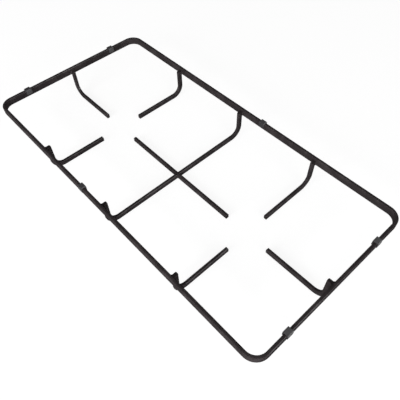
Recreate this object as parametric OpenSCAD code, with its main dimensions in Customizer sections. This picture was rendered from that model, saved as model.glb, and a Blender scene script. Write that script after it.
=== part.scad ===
// Pan support for two burners of a gas hob: flat steel bars, welded and then enamelled.
// It lies upside down here, as it does when it is taken off to be cleaned: the edges that carry
// the pans are on the ground at Z = 0, and the frame with its rubber feet is on top.
// The origin is on the ground under the middle of the frame. X runs along the frame.

/* [Frame] */
// Length of the frame over its bars
frame_length = 476; // [440:1:520]
// Width of the frame over its bars
frame_width = 232; // [210:1:250]
// Thickness of the frame's flat bar
frame_bar = 4; // [3:0.5:5]
// Height of the frame's flat bar, which stands on edge
frame_bar_height = 10; // [9:0.5:14]
// Outer radius of the frame's bent corners
frame_corner_r = 17; // [12:1:30]
// Rounding of the frame bar's long edges
frame_edge_r = 1.2; // [0.6:0.2:2.4]

/* [Fingers] */
// Thickness of the flat bar that the fingers and cross bars are made of
finger_bar = 4; // [3:0.5:5]
// Height of that bar, which stands on edge under a pan
finger_bar_height = 7; // [6:0.5:9]
// Rounding of the finger bar's long edges
finger_edge_r = 1.2; // [0.6:0.2:2.4]
// Rounding of the corners at a finger bar's cut ends
finger_end_r = 1.2; // [0.6:0.2:2]
// Height from the edges that carry the pans to the far edge of the frame
support_height = 44; // [38:1:60]
// Inner radius of the bend from a leg into its finger
bend_r = 10.5; // [6:0.5:12]
// How far a leg's cut end stays short of the frame's far edge
leg_setback = 3.5; // [1.5:0.5:4]
// Leg of the weld fillet between a finger and the frame
weld_leg = 1.6; // [1.4:0.1:2.5]

/* [Burners] */
// Distance between the centres of the two burners
burner_pitch = 243; // [220:1:270]
// Gap between the ends of two fingers that point at each other
tip_gap = 63; // [50:1:80]
// How far the burners' row lies off the frame's middle, along the frame
burner_shift_along = -1; // [-3:0.5:3]
// How far the burners' row lies off the frame's middle, across the frame
burner_shift_across = -2; // [-4:0.5:4]

/* [Feet] */
// Length of a rubber foot along the frame's bar
foot_length = 8; // [6:0.5:14]
// Thickness of a foot's cheek on the inside of the frame
foot_inner_cheek = 1.7; // [1.2:0.1:2.5]
// Thickness of its cheek on the outside of the frame
foot_outer_cheek = 1.1; // [1:0.1:2.5]
// Thickness of rubber that stands past the frame's edge
foot_pad = 1.2; // [1:0.1:3]
// How deep a foot's two cheeks grip the bar's sides
foot_grip = 6; // [4:0.5:8]
// Rounding of a foot's edges
foot_edge_r = 1; // [0.5:0.1:1.2]
// Distance of the short sides' feet from the burners' row
foot_place_short = 70; // [40:1:85]
// Distance of the long sides' feet from the middle between the burners
foot_place_long = 36; // [25:1:80]

/* [Hidden] */
$fn = 48;

// Side clearance of the halved joint where the two bars cross
lap_gap = 0.15;
// Overrun of every cut
over = 1;
// Least flat that the rounded edges leave between them on a bar's narrow side
edge_flat = 0.4;
// How far an end's rounding starts outside the bar, so that it meets the bar's edge at an angle
end_ease = 0.1;

// The edges' roundings, as far as the bars' thickness lets them go
frame_round = min(frame_edge_r, (frame_bar - edge_flat)/2);
finger_round = min(finger_edge_r, (finger_bar - edge_flat)/2);

// Distance from the frame's middle to the middle of its bar, along and across
frame_x = frame_length/2 - frame_bar/2;
frame_y = frame_width/2 - frame_bar/2;
corner_mid_r = frame_corner_r - frame_bar/2;
frame_z = support_height - frame_bar_height/2;

// A leg's outer edge stands against the inner face of the frame's bar
leg_inset = frame_bar/2 + finger_bar_height/2;
leg_top = support_height - leg_setback;
bend_mid_r = bend_r + finger_bar_height/2;
finger_z = finger_bar_height/2;
foot_width = frame_bar + foot_inner_cheek + foot_outer_cheek;
weld_bottom = support_height - frame_bar_height + frame_round;

left_burner_x = burner_shift_along - burner_pitch/2;
right_burner_x = burner_shift_along + burner_pitch/2;
burner_y = burner_shift_across;

enamel = "#2e2c2a";
rubber = "#3c3c42";

// Section of a flat bar with rounded edges, as it is rolled
module bar_section(thick, high, edge_r) {
    square([thick, high - 2*edge_r], center = true);
    square([thick - 2*edge_r, high], center = true);
    for (x = [-1, 1], y = [-1, 1])
        translate([x*(thick/2 - edge_r), y*(high/2 - edge_r)]) circle(r = edge_r);
}

// Straight bar from the origin along +X, on edge
module straight_bar(long, thick, high, edge_r) {
    rotate([90, 0, 90]) linear_extrude(height = long) bar_section(thick, high, edge_r);
}

// Side view of a finger bar from the origin along +X. At its cut end the lower corner is rounded,
// and the upper one too where corners is [-1, 1].
module rounded_end(long, corners) {
    high = finger_bar_height/2 + end_ease;
    translate([-over, -high]) square([long - finger_end_r + over, 2*high]);
    translate([long - finger_end_r, finger_end_r - high])
        square([finger_end_r, 2*high - len(corners)*finger_end_r]);
    for (y = corners)
        translate([long - finger_end_r, y*(high - finger_end_r)]) circle(r = finger_end_r);
}

// What a side view leaves of a finger bar: the view, as thick as the bar and more
module through_bar() {
    rotate([90, 0, 0]) translate([0, 0, -finger_bar]) linear_extrude(height = 2*finger_bar) children();
}

// Straight finger bar from the origin along +X, with its cut end rounded
module ended_bar(long, corners) {
    intersection() {
        straight_bar(long + over, finger_bar, finger_bar_height, finger_round);
        through_bar() rounded_end(long, corners);
    }
}

// A leg at the origin that drops into the quarter bend towards +X. Its cut end keeps a square
// corner against the frame, where the weld runs out.
module bent_leg() {
    translate([0, 0, bend_mid_r + finger_z]) rotate([0, -90, 0])
        ended_bar(leg_top - bend_mid_r - finger_z, [-1]);
    translate([bend_mid_r, 0, bend_mid_r + finger_z]) rotate([90, 0, 0])
        rotate_extrude(angle = 90, start = 180) translate([bend_mid_r, 0])
            bar_section(finger_bar_height, finger_bar, finger_round);
    weld_fillets();
}

// One finger: the leg, its bend and a straight run out along +X
module bent_finger(reach) {
    bent_leg();
    translate([bend_mid_r, 0, finger_z]) ended_bar(reach - bend_mid_r, [-1, 1]);
}

// Weld on both flanks of a leg, along its contact with the frame's bar
module weld_fillets() {
    flank = finger_bar/2;
    translate([-finger_bar_height/2, 0, weld_bottom])
        linear_extrude(height = leg_top - weld_bottom)
            polygon([[0, -flank - weld_leg], [weld_leg, -flank], [weld_leg, flank], [0, flank + weld_leg]]);
}

// Finger on the short side at x = side*frame_x, with its tip short of the burner's centre
module end_finger(side, burner_x) {
    reach = frame_x - leg_inset - side*burner_x - tip_gap/2;
    color(enamel)
        translate([side*(frame_x - leg_inset), burner_y, 0])
            rotate([0, 0, side > 0 ? 180 : 0]) bent_finger(reach);
}

// Finger on the long side at y = side*frame_y, with its tip short of the burner's centre
module side_finger(side, burner_x) {
    reach = frame_y - leg_inset - side*burner_y - tip_gap/2;
    color(enamel)
        translate([burner_x, side*(frame_y - leg_inset), 0])
            rotate([0, 0, -side*90]) bent_finger(reach);
}

// The closed ring: one flat bar bent on its flat round four corners and butt welded
module outer_frame() {
    straight_x = frame_x - corner_mid_r;
    straight_y = frame_y - corner_mid_r;
    color(enamel) translate([0, 0, frame_z]) {
        for (side = [-1, 1]) {
            translate([-straight_x, side*frame_y, 0])
                straight_bar(2*straight_x, frame_bar, frame_bar_height, frame_round);
            translate([side*frame_x, -straight_y, 0]) rotate([0, 0, 90])
                straight_bar(2*straight_y, frame_bar, frame_bar_height, frame_round);
        }
        for (x = [-1, 1], y = [-1, 1])
            translate([x*straight_x, y*straight_y, 0])
                rotate_extrude(angle = 90, start = x > 0 ? (y > 0 ? 0 : 270) : (y > 0 ? 90 : 180))
                    translate([corner_mid_r, 0])
                        bar_section(frame_bar, frame_bar_height, frame_round);
    }
}

// Bar between the two burners, bent up to the frame at both ends and halved where it is crossed
module cross_bar() {
    reach = frame_y - leg_inset;
    straight = 2*(reach - bend_mid_r);
    color(enamel) translate([burner_shift_along, 0, 0]) rotate([0, 0, 90]) {
        for (turn = [0, 180])
            rotate([0, 0, turn]) translate([-reach, 0, 0]) bent_leg();
        difference() {
            translate([-straight/2, 0, finger_z])
                straight_bar(straight, finger_bar, finger_bar_height, finger_round);
            translate([burner_y - finger_bar/2 - lap_gap, -finger_bar, -over])
                cube([finger_bar + 2*lap_gap, 2*finger_bar, finger_bar_height/2 + over]);
        }
    }
}

// Straight bar along the frame, halved where it crosses the other, with its ends at the burners
module middle_bar() {
    reach = (burner_pitch - tip_gap)/2;
    color(enamel) difference() {
        translate([burner_shift_along, burner_y, finger_z]) intersection() {
            translate([-reach - over, 0, 0])
                straight_bar(2*(reach + over), finger_bar, finger_bar_height, finger_round);
            through_bar() for (turn = [0, 180]) rotate(turn) rounded_end(reach, [-1, 1]);
        }
        translate([burner_shift_along - finger_bar/2 - lap_gap, burner_y - finger_bar, finger_bar_height/2])
            cube([finger_bar + 2*lap_gap, 2*finger_bar, finger_bar_height/2 + over]);
    }
}

// Outline of a foot from one side: a block with its two upper corners rounded
module foot_outline(wide, top) {
    bottom = support_height - foot_grip;
    translate([-wide/2, bottom]) square([wide, top - foot_edge_r - bottom]);
    translate([foot_edge_r - wide/2, top - 2*foot_edge_r])
        square([wide - 2*foot_edge_r, 2*foot_edge_r]);
    for (side = [-1, 1])
        translate([side*(wide/2 - foot_edge_r), top - foot_edge_r]) circle(r = foot_edge_r);
}

// Rubber saddle that clips over the frame's bar, which runs along X through its slot, with the
// outside of the frame towards +Y
module foot() {
    top = support_height + foot_pad;
    color(rubber) intersection() {
        rotate([90, 0, 90]) translate([0, 0, -foot_length/2 - over])
            linear_extrude(height = foot_length + 2*over) difference() {
                translate([(foot_outer_cheek - foot_inner_cheek)/2, 0]) foot_outline(foot_width, top);
                foot_slot();
            }
        rotate([90, 0, 0]) translate([0, 0, -foot_width])
            linear_extrude(height = 2*foot_width) foot_outline(foot_length, top + end_ease);
    }
}

// Section of the slot in a foot, which fits the upper edge of the frame's bar
module foot_slot() {
    bottom = support_height - foot_grip - over;
    translate([-frame_bar/2, bottom]) square([frame_bar, support_height - frame_round - bottom]);
    translate([frame_round - frame_bar/2, support_height - 2*frame_round])
        square([frame_bar - 2*frame_round, 2*frame_round]);
    for (side = [-1, 1])
        translate([side*(frame_bar/2 - frame_round), support_height - frame_round])
            circle(r = frame_round);
}

// Foot on a short side, at the given end of the frame
module short_side_foot(end, side) {
    translate([end*frame_x, burner_y + side*foot_place_short, 0]) rotate([0, 0, -end*90]) foot();
}

// Foot on a long side
module long_side_foot(side) {
    translate([burner_shift_along + side*foot_place_long, side*frame_y, 0])
        rotate([0, 0, side > 0 ? 0 : 180]) foot();
}

module left_end_finger() { end_finger(-1, left_burner_x); }
module right_end_finger() { end_finger(1, right_burner_x); }
module back_left_finger() { side_finger(1, left_burner_x); }
module front_left_finger() { side_finger(-1, left_burner_x); }
module back_right_finger() { side_finger(1, right_burner_x); }
module front_right_finger() { side_finger(-1, right_burner_x); }
module left_back_foot() { short_side_foot(-1, 1); }
module left_front_foot() { short_side_foot(-1, -1); }
module right_back_foot() { short_side_foot(1, 1); }
module right_front_foot() { short_side_foot(1, -1); }
module back_foot() { long_side_foot(1); }
module front_foot() { long_side_foot(-1); }

outer_frame();
left_end_finger();
right_end_finger();
back_left_finger();
front_left_finger();
back_right_finger();
front_right_finger();
cross_bar();
middle_bar();
left_back_foot();
left_front_foot();
right_back_foot();
right_front_foot();
back_foot();
front_foot();
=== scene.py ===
import math

import bpy
from mathutils import Matrix, Vector

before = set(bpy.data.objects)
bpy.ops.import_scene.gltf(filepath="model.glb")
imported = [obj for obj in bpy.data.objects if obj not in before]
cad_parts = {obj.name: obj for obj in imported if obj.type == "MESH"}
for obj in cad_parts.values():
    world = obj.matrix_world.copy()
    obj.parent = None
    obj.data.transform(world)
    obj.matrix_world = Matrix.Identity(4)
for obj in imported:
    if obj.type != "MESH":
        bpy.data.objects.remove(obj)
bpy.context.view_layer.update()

# The camera looks down on the part from its front right corner, as for a catalogue picture, and
# leans two degrees. It aims at the height of the frame's middle.
azimuth, elevation, lean = (math.radians(angle) for angle in (48.99, 52.90, -2.03))
aim = Vector((0.06842, -0.02644, 0.039))
distance = 0.4945
forward = Vector((-math.sin(azimuth) * math.cos(elevation), math.cos(azimuth) * math.cos(elevation),
                  -math.sin(elevation)))
level = Vector((math.cos(azimuth), math.sin(azimuth), 0))
upward = level.cross(forward)
right = level * math.cos(lean) + upward * math.sin(lean)
top = upward * math.cos(lean) - level * math.sin(lean)
camera = bpy.data.objects.new("camera", bpy.data.cameras.new("camera"))
camera.data.sensor_width = 36
camera.data.lens = 39.556
camera.data.clip_start, camera.data.clip_end = 0.01, 100
turn = Matrix((right, top, -forward)).transposed().to_4x4()
camera.matrix_world = Matrix.Translation(aim - forward * distance) @ turn
bpy.context.scene.collection.objects.link(camera)
bpy.context.scene.camera = camera


# The frame is one flat steel bar, bent on its flat round four corners and butt welded into a ring.
# Like every bar here it is coated all over with near-black vitreous enamel, fired after welding:
# a satin brown-black skin with a faint orange peel, a thin gloss in patches and a few pinholes.
class Value:
    """One output of a material's nodes. Arithmetic on it adds Math nodes."""

    def __init__(self, tree, socket=None):
        self.tree, self.socket = tree, socket

    def node(self, kind, settings=None, inputs=None, output=0):
        """Adds a node: its settings are set first, then its sockets get values or links."""
        made = self.tree.nodes.new("ShaderNode" + kind)
        for name, value in (settings or {}).items():
            setattr(made, name, value)
        for name, value in (inputs or {}).items():
            if isinstance(value, Value):
                self.tree.links.new(value.socket, made.inputs[name])
            else:
                made.inputs[name].default_value = value
        return Value(self.tree, made.outputs[output])

    def maths(self, operation, first, second):
        return self.node("Math", {"operation": operation}, {0: first, 1: second})

    def __add__(self, other):
        return self.maths("ADD", self, other)

    __radd__ = __add__

    def __mul__(self, other):
        return self.maths("MULTIPLY", self, other)

    __rmul__ = __mul__

    def __sub__(self, other):
        return self.maths("SUBTRACT", self, other)

    def __rsub__(self, other):
        return self.maths("SUBTRACT", other, self)

    def between(self, low, high):
        """0 below low, 1 above high and smooth between them."""
        return self.node("MapRange", {"interpolation_type": "SMOOTHSTEP"},
                         {"Value": self, "From Min": low, "From Max": high})


def new_material(name):
    """A material with one Principled shader, and a Value to start its other nodes from."""
    material = bpy.data.materials.new(name)
    material.use_nodes = True
    shader = next(n for n in material.node_tree.nodes if n.type == "BSDF_PRINCIPLED")
    return material, shader, Value(material.node_tree)


def link(shader, name, value):
    value.tree.links.new(value.socket, shader.inputs[name])


thick_enamel = (0.0295, 0.0249, 0.0260, 1)
thin_enamel = (0.0420, 0.0356, 0.0371, 1)
MIXED_COLOUR = 2

enamel, shader, start = new_material("black_vitreous_enamel")
place = start.node("TexCoord", output="Object")
peel = start.node("TexNoise", inputs={"Vector": place, "Scale": 620, "Detail": 2, "Roughness": 0.45})
runs = start.node("TexNoise", inputs={"Vector": place, "Scale": 75, "Detail": 2, "Roughness": 0.5})
cells = start.node("TexVoronoi", inputs={"Vector": place, "Scale": 230})
pinholes = 1 - cells.between(0.05, 0.09)
thin = runs.between(0.42, 0.66)
link(shader, "Base Color", start.node("Mix", {"data_type": "RGBA"}, {
    "Factor": thin, "A": thick_enamel, "B": thin_enamel}, MIXED_COLOUR))
link(shader, "Roughness", 0.64 + 0.08 * thin + 0.12 * pinholes)
link(shader, "Coat Weight", 0.03 + 0.02 * thin)
height = 0.55 * peel + 0.9 * runs - 0.5 * pinholes
link(shader, "Normal", start.node("Bump", inputs={
    "Strength": 0.2, "Distance": 0.0004, "Height": height}))
shader.inputs["IOR"].default_value = 1.52
shader.inputs["Specular IOR Level"].default_value = 0.0
shader.inputs["Coat Roughness"].default_value = 0.3

BARS = ["outer_frame", "left_end_finger", "right_end_finger", "back_left_finger", "front_left_finger",
        "back_right_finger", "front_right_finger", "cross_bar", "middle_bar"]
for name in BARS:
    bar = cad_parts[name]
    bar.data.materials.clear()
    bar.data.materials.append(enamel)


# The six feet are moulded rubber saddles, pushed over the frame's bar until they bottom on its
# edge. They are matt dark grey, a touch lighter than the enamel, with a fine grain from the mould.
fresh_rubber = (0.0270, 0.0252, 0.0275, 1)
bloomed_rubber = (0.0380, 0.0356, 0.0385, 1)

rubber, shader, start = new_material("moulded_foot_rubber")
place = start.node("TexCoord", output="Object")
grain = start.node("TexNoise", inputs={"Vector": place, "Scale": 2600, "Detail": 2, "Roughness": 0.6})
bloom = start.node("TexNoise", inputs={"Vector": place, "Scale": 260, "Detail": 3, "Roughness": 0.55})
link(shader, "Base Color", start.node("Mix", {"data_type": "RGBA"}, {
    "Factor": bloom.between(0.4, 0.7), "A": fresh_rubber, "B": bloomed_rubber}, MIXED_COLOUR))
link(shader, "Roughness", 0.62 + 0.2 * bloom)
link(shader, "Normal", start.node("Bump", inputs={
    "Strength": 0.5, "Distance": 0.00012, "Height": grain}))
shader.inputs["IOR"].default_value = 1.45
shader.inputs["Specular IOR Level"].default_value = 0.25

FEET = ["left_back_foot", "left_front_foot", "right_back_foot", "right_front_foot",
        "back_foot", "front_foot"]
for name in FEET:
    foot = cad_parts[name]
    foot.data.materials.clear()
    foot.data.materials.append(rubber)


# The part lies upside down on a plain white table. Two wide soft lamps stand low in front of it and
# to its right, and a smaller one further round only draws a highlight along the bars' upper edges.
table_size = 30
table_grey = (0.20, 0.20, 0.20, 1)
table_glow = 0.88
room_grey = (0.22, 0.22, 0.22, 1)

bpy.ops.object.select_all(action="DESELECT")
bpy.ops.mesh.primitive_plane_add(size=table_size, location=(0, 0, 0))
table = bpy.context.object
table.name = "white_table"
white, shader, start = new_material("white_table")
shader.inputs["Base Color"].default_value = table_grey
shader.inputs["Roughness"].default_value = 0.9
shader.inputs["Specular IOR Level"].default_value = 0.0
seen = start.node("LightPath", output="Is Camera Ray")
for ray in ("Is Glossy Ray", "Is Transmission Ray"):
    seen = start.maths("MAXIMUM", seen, start.node("LightPath", output=ray))
shader.inputs["Emission Color"].default_value = (1, 1, 1, 1)
link(shader, "Emission Strength", table_glow * seen)
table.data.materials.append(white)

world = bpy.data.worlds.new("studio")
world.use_nodes = True
backdrop = next(n for n in world.node_tree.nodes if n.type == "BACKGROUND")
backdrop.inputs["Color"].default_value = room_grey
backdrop.inputs["Strength"].default_value = 1.0
bpy.context.scene.world = world

for name, width, depth, energy, spot, target in (
        ("front_softbox", 1.2, 1.2, 48, (0.2, -1.9, 0.55), (0, 0, 0)),
        ("side_softbox", 1.0, 1.0, 22, (1.8, -0.3, 0.5), (0, 0, 0)),
        ("highlight_lamp", 0.3, 0.6, 240, (1.74, 0.63, 0.94), (0.1, -0.05, 0.03))):
    lamp = bpy.data.objects.new(name, bpy.data.lights.new(name, "AREA"))
    lamp.data.shape = "RECTANGLE"
    lamp.data.size, lamp.data.size_y = width, depth
    lamp.data.energy = energy
    lamp.location = spot
    lamp.rotation_euler = (Vector(target) - lamp.location).to_track_quat("-Z", "Y").to_euler()
    lamp.visible_diffuse = name != "highlight_lamp"
    bpy.context.scene.collection.objects.link(lamp)

bpy.context.scene.view_settings.view_transform = "Standard"
